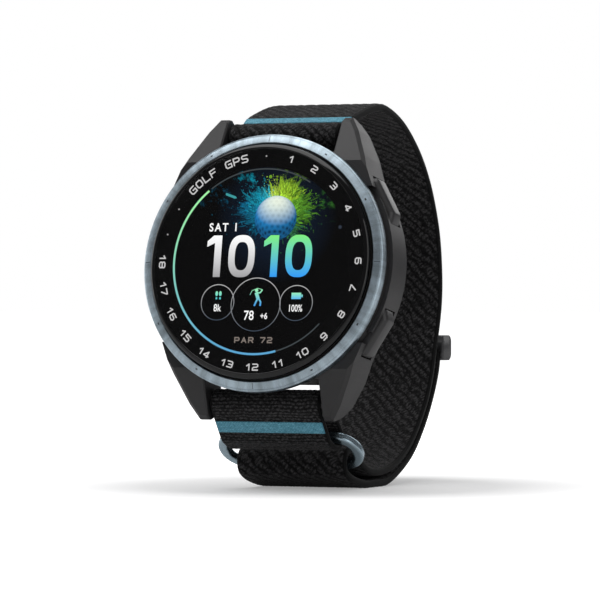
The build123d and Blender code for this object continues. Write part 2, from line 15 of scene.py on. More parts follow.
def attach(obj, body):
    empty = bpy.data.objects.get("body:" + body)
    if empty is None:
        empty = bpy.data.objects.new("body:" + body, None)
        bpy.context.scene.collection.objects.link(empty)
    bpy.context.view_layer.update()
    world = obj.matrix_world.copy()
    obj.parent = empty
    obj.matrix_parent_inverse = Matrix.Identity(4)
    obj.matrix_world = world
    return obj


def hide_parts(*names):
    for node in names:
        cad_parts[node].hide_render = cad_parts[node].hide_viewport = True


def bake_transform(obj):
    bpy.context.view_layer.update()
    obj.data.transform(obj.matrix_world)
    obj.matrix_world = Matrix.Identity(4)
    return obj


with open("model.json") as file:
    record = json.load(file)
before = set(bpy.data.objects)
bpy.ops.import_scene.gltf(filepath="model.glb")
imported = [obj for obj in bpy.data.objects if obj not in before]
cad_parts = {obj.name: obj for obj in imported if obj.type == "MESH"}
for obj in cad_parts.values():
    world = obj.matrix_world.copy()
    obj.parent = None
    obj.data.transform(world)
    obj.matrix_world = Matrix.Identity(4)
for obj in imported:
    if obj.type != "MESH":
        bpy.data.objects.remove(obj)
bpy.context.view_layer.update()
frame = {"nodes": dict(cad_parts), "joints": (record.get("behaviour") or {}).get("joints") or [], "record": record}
MM = 0.001
mounts = {m["name"]: m for m in frame["record"]["mounts"]}
joints = {j["name"]: j for j in frame["joints"]}

# Dial frame, from the glass face and its normal
LENS_TOP = 0.85
dial_z = Vector(mounts["lens_face"]["axis"]).normalized()
dial_x = Vector((1, 0, 0))
dial_y = dial_z.cross(dial_x)
dial_centre = Vector(mounts["lens_face"]["pos_m"]) - dial_z * LENS_TOP * MM
dial_matrix = Matrix((dial_x, dial_y, dial_z)).transposed().to_4x4()
dial_matrix.translation = dial_centre

# Head
BEZEL_R = 21.5
BEZEL_BORE_R = 19.78
LENS_R = 19.55
LENS_FLAT_R = 18.1
GLASS_MASK_R = 18.8  # the glass is clear inside this radius
NUMBER_R = 17.57
INK_Z = 0.05

# Strap
STRAP_WIDTH = 19.8
STRAP_T = 1.3
SLEEVE_R = 2.35
LOOP_R = 2.15
RING_HOLD = (-15.9, 8.9)
FOLD_CENTRE = (-10.85, 4.5)
FOLD_R = 2.15
FOLD_IN = 62.0
FOLD_OUT = 250.0
STRIPE_T = 0.3
RELEASE_TURN = 50.0
KNOB_X = -7.95
DOUBLED_T = 0.9  # each layer of the short strap
SEAM_STEPS = 5  # steps of the short strap's route left open between its two ends
upper_bar = [v / MM for v in joints["long_strap_swing"]["pos_m"][1:]]
lower_bar = [v / MM for v in joints["short_strap_swing"]["pos_m"][1:]]

# Centre lines of the strap layers, as (Y, Z)
long_path = [
    (-13.3, 60.0), (-11.4, 60.4), (-9.35, 61.65), (-5.8, 62.75), (-0.2, 64.0), (4.0, 64.25),
    (12.3, 61.9), (19.8, 57.1), (24.4, 52.2), (27.4, 47.1), (29.3, 42.0), (30.2, 34.2),
    (29.5, 29.0), (28.0, 24.5), (25.3, 17.0), (21.9, 12.2), (16.9, 7.5), (13.2, 5.25),
    (7.7, 3.2), (2.0, 2.5), (-2.0, 2.8), (-5.3, 4.0), (-7.95, 5.4),
]
flap_path = [
    (-7.6, 1.3), (-4.4, 0.76), (-3.0, 0.65), (0.5, 0.65), (4.0, 0.65), (5.4, 0.76), (8.3, 1.5),
    (14.1, 3.8), (17.9, 6.1), (23.2, 11.1), (26.9, 16.1), (28.7, 19.6), (29.4, 22.6),
]
lower_stripe_ends = ((-22.45, 11.45), (-21.15, 9.85))
upper_stripe_ends = ((-11.15, 61.3), (-9.95, 62.05))


# ---------------------------------------------------------------- small tools

def link(obj):
    bpy.context.scene.collection.objects.link(obj)
    return obj


def piece(name, points, faces, material, body, matrix=None, smooth=True):
    """A mesh piece from points in millimetres, riding on a body."""
    mesh = bpy.data.meshes.new(name)
    mesh.from_pydata([Vector(p) * MM for p in points], [], faces)
    mesh.update()
    mesh.polygons.foreach_set("use_smooth", [smooth] * len(mesh.polygons))
    mesh.materials.append(material)
    obj = link(bpy.data.objects.new(name, mesh))
    if matrix:
        obj.matrix_world = matrix
    if body:
        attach(obj, body)
    return obj


def point_colour(mesh, name, colours):
    """Stores one colour per point of a mesh, for its material to read."""
    attribute = mesh.color_attributes.new(name, "FLOAT_COLOR", "POINT")
    attribute.data.foreach_set("color", np.asarray(colours, np.float32).ravel())


# ---------------------------------------------------------------- materials

def start(name):
    material = bpy.data.materials.new(name)
    material.use_nodes = True
    tree = material.node_tree
    return material, tree, tree.nodes["Principled BSDF"]


def node(tree, kind, inputs=None, **settings):
    """A shader node with its settings, its input values and its incoming links."""
    made = tree.nodes.new("ShaderNode" + kind)
    for key, value in settings.items():
        setattr(made, key, value)
    for key, value in (inputs or {}).items():
        if isinstance(value, bpy.types.NodeSocket):
            tree.links.new(value, made.inputs[key])
        else:
            made.inputs[key].default_value = value
    return made


def place(tree):
    return node(tree, "TexCoord").outputs["Object"]


def math(tree, operation, a, b=0.0, clamp=False):
    return node(tree, "Math", {0: a, 1: b}, operation=operation, use_clamp=clamp).outputs[0]


def ramp(tree, factor, *stops):
    """Colour ramp through (position, colour) stops."""
    made = node(tree, "ValToRGB", {"Fac": factor})
    elements = made.color_ramp.elements
    while len(elements) < len(stops):
        elements.new(1)
    for element, (position, colour) in zip(elements, stops):
        element.position = position
        element.color = (*colour, 1)
    return made.outputs["Color"]


def spread(tree, value, low, high, new_low, new_high):
    return node(
        tree, "MapRange",
        {"Value": value, "From Min": low, "From Max": high, "To Min": new_low, "To Max": new_high},
    ).outputs["Result"]


def noise(tree, scale, detail=3.0, roughness=0.5, vector=None):
    """Noise whose scale is in cells per millimetre."""
    source = vector if vector is not None else place(tree)
    values = {"Vector": source, "Scale": scale / MM, "Detail": detail, "Roughness": roughness}
    return node(tree, "TexNoise", values).outputs["Fac"]


def bump(tree, bsdf, height, distance, strength=1.0):
    """Bump of a height field, its distance in millimetres."""
    made = node(tree, "Bump", {"Height": height, "Distance": distance * MM, "Strength": strength})
    tree.links.new(made.outputs["Normal"], bsdf.inputs["Normal"])
    return made


def tinted(tree, bsdf, colour, factor, spread_by=0.2):
    """Base colour that varies a little with a factor."""
    dark = [c * (1 - spread_by) for c in colour]
    light = [min(1, c * (1 + spread_by)) for c in colour]
    tree.links.new(ramp(tree, factor, (0.3, dark), (0.7, light)), bsdf.inputs["Base Color"])


def moulded(name, colour, roughness=0.5, grain=6.0, depth=0.006, specular=0.5):
    """Moulded plastic or rubber: fine eroded grain and soft patches of wear."""
    material, tree, bsdf = start(name)
    fine = noise(tree, grain, 4.0, 0.6)
    patches = noise(tree, 0.12, 3.0)
    tinted(tree, bsdf, colour, patches, 0.12)
    rough = math(tree, "ADD", spread(tree, fine, 0.3, 0.7, roughness - 0.06, roughness + 0.06),
                 spread(tree, patches, 0.3, 0.7, -0.04, 0.04))
    tree.links.new(rough, bsdf.inputs["Roughness"])
    bsdf.inputs["Specular IOR Level"].default_value = specular
    bump(tree, bsdf, fine, depth)
    return material


def metal(name, colour, roughness=0.3, streak=(6.0, 6.0, 0.5), depth=0.002):
    """Drawn or machined metal: streaks along one axis in colour, gloss and height."""
    material, tree, bsdf = start(name)
    bsdf.inputs["Metallic"].default_value = 1.0
    stretched = node(tree, "Mapping", {"Vector": place(tree), "Scale": streak}).outputs["Vector"]
    streaks = noise(tree, 1.0, 4.0, 0.6, stretched)
    tinted(tree, bsdf, colour, streaks, 0.08)
    uneven = spread(tree, streaks, 0.3, 0.7, roughness - 0.08, roughness + 0.08)
    tree.links.new(uneven, bsdf.inputs["Roughness"])
    bump(tree, bsdf, streaks, depth)
    return material


def brushed_ring(name, colour, roughness):
    """Anodised metal brushed across a ring round the dial axis; its colour follows the fine brushing streaks and
    swings in broad bands round the ring, which is painted shading.
    """
    material, tree, bsdf = start(name)
    bsdf.inputs["Metallic"].default_value = 1.0
    parts = node(tree, "SeparateXYZ", {0: place(tree)}).outputs
    angle = math(tree, "ARCTAN2", parts["Y"], parts["X"])
    radius = math(tree, "SQRT", math(tree, "ADD", math(tree, "POWER", parts["X"], 2.0),
                                     math(tree, "POWER", parts["Y"], 2.0)))
    around = node(tree, "CombineXYZ", {"X": math(tree, "MULTIPLY", angle, 0.06),
                                       "Y": math(tree, "MULTIPLY", radius, 0.35)}).outputs[0]
    hair = noise(tree, 5.0, 5.0, 0.7, around)
    painted_angular_shading = node(tree, "TexNoise", {"Vector": around, "Scale": 45.0, "Detail": 2.0}).outputs["Fac"]
    streak = node(tree, "TexNoise", {"Vector": around, "Scale": 260.0, "Detail": 3.0}).outputs["Fac"]
    brushing_and_painted_shading = math(tree, "ADD", math(tree, "MULTIPLY", hair, 0.3),
                 math(tree, "ADD", math(tree, "MULTIPLY", streak, 0.35), math(tree, "MULTIPLY", painted_angular_shading, 0.35)))
    # Colour follows the brushing streaks and, in broad bands round the ring, painted light and shade.
    tinted(tree, bsdf, colour, spread(tree, brushing_and_painted_shading, 0.38, 0.62, 0.2, 0.8), 0.3)
    tree.links.new(spread(tree, hair, 0.3, 0.7, roughness - 0.1, roughness + 0.1), bsdf.inputs["Roughness"])
    bsdf.inputs["Anisotropic"].default_value = 0.6
    bump(tree, bsdf, hair, 0.004)
    return material


def clear_glass(name, tint=(1, 1, 1), roughness=0.0):
    material, tree, bsdf = start(name)
    bsdf.inputs["Transmission Weight"].default_value = 1.0
    bsdf.inputs["IOR"].default_value = 1.3
    smear = noise(tree, 0.08, 2.0)
    tree.links.new(spread(tree, smear, 0.35, 0.65, roughness, roughness + 0.015), bsdf.inputs["Roughness"])
    bsdf.inputs["Base Color"].default_value = (*tint, 1)
    return material


def ink(name, strength):
    """Lit or printed marks, coloured point by point; a strength makes them glow, which on printed marks is painted
    light.
    """
    material, tree, bsdf = start(name)
    colour = node(tree, "Attribute", attribute_name="ink").outputs["Color"]
    grain = spread(tree, noise(tree, 12.0, 2.0), 0.3, 0.7, 0.94, 1.0)
    scaled = node(tree, "MixRGB", {"Fac": 1.0, "Color1": colour, "Color2": grain}, blend_type="MULTIPLY")
    tree.links.new(scaled.outputs[0], bsdf.inputs["Base Color"])
    if strength:
        tree.links.new(scaled.outputs[0], bsdf.inputs["Emission Color"])
        bsdf.inputs["Emission Strength"].default_value = strength
        tree.links.remove(bsdf.inputs["Base Color"].links[0])
        bsdf.inputs["Base Color"].default_value = (0, 0, 0, 1)
        bsdf.inputs["Specular IOR Level"].default_value = 0.0
    tree.links.new(spread(tree, noise(tree, 3.0), 0.3, 0.7, 0.35, 0.5), bsdf.inputs["Roughness"])
    return material


def woven(name, high, low, roughness=0.75, sheen=0.1, depth=0.16):
    """Textile: ribs of stitches from the weave phases, frayed by fibres, with a soft sheen; its colour is painted
    light, pale on the stitch crowns and near black in the hollows.
    """
    material, tree, bsdf = start(name)
    stored = node(tree, "Attribute", attribute_name="weave").outputs["Vector"]
    weave = node(tree, "SeparateXYZ", {0: stored}).outputs
    fibre = noise(tree, 4.5, 4.0, 0.75)
    speck = noise(tree, 1.9, 2.0, 0.6)
    frayed = spread(tree, noise(tree, 1.2, 3.0, 0.6), 0.25, 0.75, -0.3, 0.3)
    across = math(tree, "ADD", weave["X"], frayed)
    half_steps = math(tree, "MULTIPLY", math(tree, "FLOOR", across), 0.5)
    along = math(tree, "ADD", math(tree, "ADD", weave["Y"], half_steps),
                 math(tree, "MULTIPLY", frayed, 1.4))
    rib = math(tree, "ABSOLUTE", math(tree, "SINE", math(tree, "MULTIPLY", across, pi)))
    stitch = math(tree, "ABSOLUTE", math(tree, "SINE", math(tree, "MULTIPLY", along, pi)))
    crown = math(tree, "MULTIPLY", math(tree, "POWER", stitch, 0.7), 0.75)
    knit = math(tree, "MULTIPLY", rib, math(tree, "ADD", crown, 0.25))
    speckled_knit_height = math(tree, "MULTIPLY", math(tree, "MULTIPLY", knit, spread(tree, fibre, 0.3, 0.7, 0.3, 1.3)),
                spread(tree, speck, 0.32, 0.62, 0.25, 1.3))
    inside = spread(tree, weave["Z"], 0.25, 0.6, 0.0, 1.0)
    height = math(tree, "MULTIPLY", math(tree, "ADD", speckled_knit_height, math(tree, "MULTIPLY", fibre, 0.35)), inside)
    # A lighter line along the rolled edge, in colour only: a painted highlight.
    from_edge = math(tree, "ABSOLUTE", math(tree, "SUBTRACT", weave["Z"], 0.16))
    line = math(tree, "MULTIPLY", spread(tree, from_edge, 0.0, 0.1, 1.0, 0.0), 0.5)
    # Base colour follows the knit's height: painted highlight on the crowns, painted shade in the hollows.
    tone = math(tree, "ADD", height, line)
    middle = [a * 0.28 + b for a, b in zip(high, low)]
    tree.links.new(ramp(tree, tone, (0.2, low), (0.6, middle), (1.2 / 1.3, high)), bsdf.inputs["Base Color"])
    tree.links.new(spread(tree, fibre, 0.3, 0.7, roughness - 0.1, roughness + 0.1), bsdf.inputs["Roughness"])
    bsdf.inputs["Sheen Weight"].default_value = sheen
    bsdf.inputs["Sheen Roughness"].default_value = 0.4
    bsdf.inputs["Specular IOR Level"].default_value = 0.15
    bump(tree, bsdf, height, depth)
    return material


# ---------------------------------------------------------------- strap outlines

def curve_through(points, spans=12):
    """Smooth line through points: a centripetal Catmull-Rom curve."""
    p = np.array(points, float)
    p = np.vstack([2 * p[0] - p[1], p, 2 * p[-1] - p[-2]])
    line = []
    for a, b, c, d in zip(p[:-3], p[1:-2], p[2:-1], p[3:]):
        t = np.cumsum([0, *[sqrt(np.linalg.norm(q - r)) for q, r in ((a, b), (b, c), (c, d))]])
        for u in np.linspace(t[1], t[2], spans, endpoint=False):
            ab = a + (b - a) * (u - t[0]) / (t[1] - t[0])
            bc = b + (c - b) * (u - t[1]) / (t[2] - t[1])
            cd = c + (d - c) * (u - t[2]) / (t[3] - t[2])
            abc = ab + (bc - ab) * (u - t[0]) / (t[2] - t[0])
            bcd = bc + (cd - bc) * (u - t[1]) / (t[3] - t[1])
            line.append(abc + (bcd - abc) * (u - t[1]) / (t[2] - t[1]))
    return np.array([*line, p[-2]])


def on_circle(centre, radius, start_angle, end_angle, step=4.0):
    """Points on a circle between two angles, counted from +Y towards +Z."""
    count = max(2, int(abs(end_angle - start_angle) / step) + 1)
    turn = np.radians(np.linspace(start_angle, end_angle, count))
    return np.stack([centre[0] + radius * np.cos(turn), centre[1] + radius * np.sin(turn)], 1)


def resampled(points, step, closed=False):
    """The same line with evenly spaced points."""
    p = np.array(points, float)
    if closed:
        p = np.vstack([p, p[:1]])
    length = np.concatenate([[0], np.cumsum(np.linalg.norm(np.diff(p, axis=0), axis=1))])
    count = int(length[-1] / step) + 1
    at = np.linspace(0, length[-1], count, endpoint=not closed)
    return np.stack([np.interp(at, length, p[:, 0]), np.interp(at, length, p[:, 1])], 1)


def left_of(points, closed=False):
    """Unit normals to the left of a line's heading."""
    ahead = np.roll(points, -1, 0) - np.roll(points, 1, 0)
    if not closed:
        ahead[0] = points[1] - points[0]
        ahead[-1] = points[-1] - points[-2]
    ahead /= np.linalg.norm(ahead, axis=1)[:, None]
    return np.stack([-ahead[:, 1], ahead[:, 0]], 1)


def band_outline(path, thickness=STRAP_T):
    """Closed outline of a band round a centre line, with rounded ends."""
    path = resampled(path, 0.3)
    side = left_of(path) * thickness / 2
    caps = []
    for end, sign in ((-1, 1), (0, -1)):
        normal = side[end] * sign
        out = np.array([normal[1], -normal[0]])
        caps.append([path[end] + normal * cos(a) + out * sin(a) for a in np.linspace(0.3, pi - 0.3, 7)])
    return np.vstack([path + side, caps[0], (path - side)[::-1], caps[1]])


def sleeved_outline(path, bar):
    """Outline of a band whose start is wrapped round a spring bar."""
    path = resampled(path, 0.3)
    side = left_of(path) * STRAP_T / 2
    left, right = path + side, path - side
    left = left[np.argmax(np.linalg.norm(left - bar, axis=1) > SLEEVE_R):]
    right = right[np.argmax(np.linalg.norm(right - bar, axis=1) > SLEEVE_R):]
    first = degrees(atan2(*(right[0] - bar)[::-1]))
    last = degrees(atan2(*(left[0] - bar)[::-1]))
    while last > first:
        last -= 360
    normal = side[-1]
    out = np.array([normal[1], -normal[0]])
    cap = [path[-1] + normal * cos(a) + out * sin(a) for a in np.linspace(0.3, pi - 0.3, 7)]
    return np.vstack([left, cap, right[::-1], on_circle(bar, SLEEVE_R, first, last)[1:-1]])


def hull(points):
    """Convex outline round a set of points."""
    ordered = sorted(map(tuple, points))
    half = []
    for line in (ordered, ordered[::-1]):
        chain = []
        for p in line:
            while len(chain) > 1:
                (ay, az), (by, bz) = chain[-2], chain[-1]
                if (by - ay) * (p[1] - az) - (bz - az) * (p[0] - ay) > 0:
                    break
                chain.pop()
            chain.append(p)
        half += chain[:-1]
    return np.array(half)


# ---------------------------------------------------------------- textile

TWILL_PITCH = 1.4
STITCH_PITCH = 0.62
BLOCK = (0.62, 0.95)
SELVEDGE = 0.9
EDGE_R = 0.42


def wobble(s, x, cell, seed):
    """Smooth irregular field over the textile, from -1 to 1."""
    grid = np.random.RandomState(seed).uniform(-1, 1, (64, 64))
    u, v = s / cell, x / cell + 32
    i, j = np.floor(u).astype(int), np.floor(v).astype(int)
    a, b = u - i, v - j
    a, b = a * a * (3 - 2 * a), b * b * (3 - 2 * b)

    def at(k, m):
        return grid[(i + k) % 64, (j + m) % 64]

    return (at(0, 0) * (1 - a) + at(1, 0) * a) * (1 - b) + (at(0, 1) * (1 - a) + at(1, 1) * a) * b


def twill(s, x):
    """Phases of the knit across and along its diagonal ribs, a little uneven."""
    s, x = s + 0.36 * wobble(s, x, 1.3, 3), x + 0.36 * wobble(s, x, 1.3, 4)
    return (s + x) / (sqrt(2) * TWILL_PITCH), (x - s) / (sqrt(2) * STITCH_PITCH)


def blocks(s, x):
    """Phases of the coarser front weave: short blocks in rows along the width."""
    s, x = s + 0.16 * wobble(s, x, 2.1, 5), x + 0.2 * wobble(s, x, 1.7, 6)
    return s / BLOCK[0], x / BLOCK[1]


def ribbed(s, x):
    """Phases of the stripe's flat ribbon: fine ribs along the strap's width."""
    return s / 0.3, x / 0.5


def stitched(across, along):
    """Height of the weave, 0 to 1, from its phases."""
    stitch = np.abs(np.sin(pi * (along + 0.5 * np.floor(across)))) ** 0.7
    return np.abs(np.sin(pi * across)) * (0.25 + 0.75 * stitch)


def knob_dent(bar, turn):
    """Hollow in a sleeve round the release knob that stands out of it."""
    spot = np.array([bar[0] + SLEEVE_R * cos(radians(turn)), bar[1] + SLEEVE_R * sin(radians(turn))])

    def depth(line, x):
        away = np.hypot(np.linalg.norm(line - spot, axis=1), max(0, abs(x - KNOB_X) - 0.6))
        return 0.5 * np.exp(-((away / 0.75) ** 4))
    return depth


def extruded(name, outline, material, body, weave=twill, depth=0.13, width=STRAP_WIDTH,
             step=0.26, edge=EDGE_R, selvedge=SELVEDGE, dent=None):
    """Textile solid: a closed (Y, Z) outline carried along X, with relief and rolled edges."""
    line = resampled(outline, step, closed=True)
    normal = left_of(line, closed=True)
    area = np.sum(line[:, 0] * np.roll(line[:, 1], -1) - line[:, 1] * np.roll(line[:, 0], -1))
    if area > 0:
        normal = -normal
    s = np.arange(len(line)) * step
    half = width / 2
    turn = np.linspace(0, pi / 2, 5)
    stations = [(-half + edge * (1 - sin(a)), edge * (1 - cos(a))) for a in turn[::-1]]
    stations += [(x, 0) for x in np.arange(-half + edge, half - edge, step)[1:]]
    stations += [(-x, inset) for x, inset in stations[:5][::-1]]
    points, phases = [], []
    for x, inset in stations:
        inside = float(np.clip((half - abs(x)) / selvedge, 0, 1))
        firm = min(1, max(0, (inside - 0.25) / 0.35))
        across, along = weave(s, np.full(len(s), x))
        height = stitched(across, along) * firm + 0.4 * (1 - firm)
        push = (height - 0.6) * depth - inset
        if dent:
            push = push - dent(line, x)
        at = line + normal * push[:, None]
        points += [(x, y, z) for y, z in at]
        phases.append(np.stack([across, along, np.full(len(s), inside)], 1))
    n, rows = len(line), len(stations)
    quads = [
        (r * n + i, r * n + (i + 1) % n, (r + 1) * n + (i + 1) % n, (r + 1) * n + i)
        for r in range(rows - 1) for i in range(n)
    ]
    made = piece(name, points, quads, material, body)
    mesh = made.data
    attribute = mesh.attributes.new("weave", "FLOAT_VECTOR", "POINT")
    attribute.data.foreach_set("vector", np.vstack(phases).astype(np.float32).ravel())
    shape = bmesh.new()
    shape.from_mesh(mesh)
    rim = [e for e in shape.edges if e.is_boundary]
    ends = bmesh.ops.edgeloop_fill(shape, edges=rim)["faces"]
    bmesh.ops.triangulate(shape, faces=ends, ngon_method="EAR_CLIP")
    bmesh.ops.recalc_face_normals(shape, faces=shape.faces)
    for face in shape.faces:
        face.smooth = True
    shape.to_mesh(mesh)
    shape.free()
    return made


def main_textiles():
    # Each textile's two colours are the painted highlight of its stitch crowns and the painted shade of its hollows.
    black = woven("strap_textile", (0.078, 0.076, 0.078), (0.0008, 0.0008, 0.0009))
    blue = woven("stripe_textile", (0.24, 0.60, 0.74), (0.08, 0.27, 0.37), 0.6, 0.1, 0.04)
    upper, lower = np.array(upper_bar), np.array(lower_bar)
    fold = on_circle(FOLD_CENTRE, FOLD_R, FOLD_IN, FOLD_OUT)
    loop_path = curve_through([*long_path, tuple(fold[0])])
    loop = extruded("wrist_loop", sleeved_outline(loop_path, upper), black, "long_strap",
                    dent=knob_dent(upper, -RELEASE_TURN))
    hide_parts("long_strap")
    flap_line = np.vstack([fold[1:-6], curve_through([tuple(fold[-4]), (-10.3, 2.0), *flap_path])[6:]])
    flap = extruded("flap_textile", band_outline(flap_line), black, None, step=0.24)
    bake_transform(flap)
    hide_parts("strap_flap")
    circles = ((lower, SLEEVE_R), ((-18.45, 9.6), 2.0), ((-17.0, 8.3), 1.4), (RING_HOLD, LOOP_R))
    belt = hull(np.vstack([on_circle(c, r - DOUBLED_T / 2, 0, 356) for c, r in circles]))
    belt = np.roll(belt, -int(np.argmax(belt @ (1.0, 1.0))), 0)
    belt = resampled(belt, 0.3, closed=True)[:-SEAM_STEPS]
    short_outline = band_outline(belt, DOUBLED_T)
    short = extruded("short_strap_textile", short_outline, black, "short_strap", blocks, 0.09,
                     step=0.2, dent=knob_dent(lower, RELEASE_TURN))
    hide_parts("short_strap")
    for name, ends, body in (("lower_stripe", lower_stripe_ends, "short_strap"),
                             ("upper_stripe", upper_stripe_ends, "long_strap")):
        outline = band_outline(np.array(ends), STRIPE_T)
        ribbon = extruded(name + "_ribbon", outline, blue, body, ribbed, 0.03,
                          STRAP_WIDTH - 0.6, 0.08, 0.06, 0.2)
        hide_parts(name)


# ---------------------------------------------------------------- head

def lathe(name, profile, material, segments=360, closed=True):
    """A ring or disc turned round the dial axis from (radius, height) points."""
    points, faces = [], []
    n = len(profile)
    for k in range(segments):
        c, s = cos(tau * k / segments), sin(tau * k / segments)
        points += [(r * c, r * s, z) for r, z in profile]
    last = n if closed else n - 1
    for k in range(segments):
        for i in range(last):
            a, b = k * n + i, k * n + (i + 1) % n
            c, d = (a + n) % (n * segments), (b + n) % (n * segments)
            faces.append((a, c, d, b))
    return piece(name, points, faces, material, "watch_head", dial_matrix)


def rounded(profile, radius=0.07, steps=4):
    """A closed profile with each corner rounded."""
    p = np.array(profile, float)
    out = []
    for before, here, after in zip(np.roll(p, 1, 0), p, np.roll(p, -1, 0)):
        a, b = before - here, after - here
        la, lb = np.linalg.norm(a), np.linalg.norm(b)
        cut = min(radius, la * 0.45, lb * 0.45)
        a, b = here + a / la * cut, here + b / lb * cut
        for t in np.linspace(0, 1, steps):
            out.append(tuple((1 - t) ** 2 * a + 2 * t * (1 - t) * here + t * t * b))
    return out


def softened(name, material, body, width, angle=24.0, longest=0.4, clamp=True):
    """Rounded copy of a CAD piece whose sharp outer edges are eased."""
    source = frame["nodes"][name]
    shape = bmesh.new()
    shape.from_mesh(source.data)
    bmesh.ops.transform(shape, matrix=source.matrix_world, verts=shape.verts)
    bmesh.ops.remove_doubles(shape, verts=shape.verts, dist=0.001 * MM)
    bmesh.ops.dissolve_limit(shape, angle_limit=radians(0.5), verts=shape.verts, edges=shape.edges)
    sharp = [e for e in shape.edges if e.is_manifold and e.calc_length() > longest * MM
             and e.calc_face_angle(0) > radians(angle)]
    bmesh.ops.bevel(shape, geom=sharp, offset=width * MM, segments=3, profile=0.5, affect="EDGES",
                    clamp_overlap=clamp)
    bmesh.ops.triangulate(shape, faces=shape.faces)
    mesh = bpy.data.meshes.new(name + "_eased")
    shape.to_mesh(mesh)
    shape.free()
    mesh.materials.append(material)
    made = link(bpy.data.objects.new(name + "_eased", mesh))
    mesh.set_sharp_from_angle(angle=radians(32))
    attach(made, body)
    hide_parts(name)
    return made


def turned_solid(name, profile, material, segments=256):
    """A solid turned round the dial axis from (radius, height) points, the first and last on it."""
    inner = profile[1:-1]
    n = len(inner)
    points = [(0, 0, profile[0][1]), (0, 0, profile[-1][1])]
    for k in range(segments):
        c, s = cos(tau * k / segments), sin(tau * k / segments)
        points += [(r * c, r * s, z) for r, z in inner]
    faces = []
    for k in range(segments):
        a, b = 2 + k * n, 2 + (k + 1) % segments * n
        faces.append((0, a, b))
        faces += [(a + i, a + i + 1, b + i + 1, b + i) for i in range(n - 1)]
        faces.append((1, b + n - 1, a + n - 1))
    return piece(name, points, faces, material, "watch_head", dial_matrix)


def on_slope(r):
    """Height of the bezel's broad sloped face at a radius."""
    return -0.3 - (r - 20.0) * (0.72 - 0.3) / (21.12 - 20.0)


def make_bezel_marks():
    """Dark engraved marks on the bezel's slope: long ones on the quarters, short ones between."""
    points, faces = [], []
    for k in range(12):
        angle = radians(30 * k)
        low, high, half = (20.1, 21.1, 0.045) if k % 3 == 0 else (20.5, 20.74, 0.2)
        out = np.array([cos(angle), sin(angle)])
        side = np.array([-out[1], out[0]]) * half
        first = len(points)
        for r, way in ((low, -1), (high, -1), (high, 1), (low, 1)):
            x, y = out * r + side * way
            points.append((x, y, on_slope(r) + 0.012))
        faces.append(tuple(range(first, first + 4)))
    dark = moulded("mark_fill", (0.035, 0.045, 0.055), 0.5, 6.0, 0.002)
    piece("bezel_marks", points, faces, dark, "watch_head", dial_matrix, smooth=False)


def make_head():
    steel = brushed_ring("bezel_metal", (0.43, 0.52, 0.58), 0.36)
    profile = [(BEZEL_BORE_R, -2.6), (BEZEL_BORE_R, -0.5), (19.88, -0.35), (20.0, -0.3), (21.12, -0.72),
               (21.16, -0.82), (21.22, -0.8), (BEZEL_R, -1.1), (BEZEL_R, -2.35), (BEZEL_R - 0.25, -2.6)]
    bezel = lathe("bezel_ring", rounded(profile, 0.05), steel)
    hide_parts("bezel")
    make_bezel_marks()
    curve = [(LENS_FLAT_R + (LENS_R - LENS_FLAT_R) * sin(a), 0.3 + (LENS_TOP - 0.3) * cos(a))
             for a in np.linspace(0, pi / 2, 15)]
    clear = [p for p in curve if p[0] < GLASS_MASK_R]
    pane = [*((r, LENS_TOP) for r in (0, 6, 12)), *clear, (clear[-1][0], 0.1), *((r, 0.1) for r in (12, 6, 0))]
    glass = turned_solid("cover_glass", pane, clear_glass("cover_glass"))
    glass.data.set_sharp_from_angle(angle=radians(40))
    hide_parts("lens")
    edge = [*curve[len(clear) - 1:], (LENS_R, 0.14), (LENS_R - 0.04, 0.1), (clear[-1][0], 0.1)]
    lathe("glass_edge", edge, moulded("glass_edge", (0.002, 0.002, 0.0022), 0.09, 2.0, 0.0003))


# ---------------------------------------------------------------- dial artwork

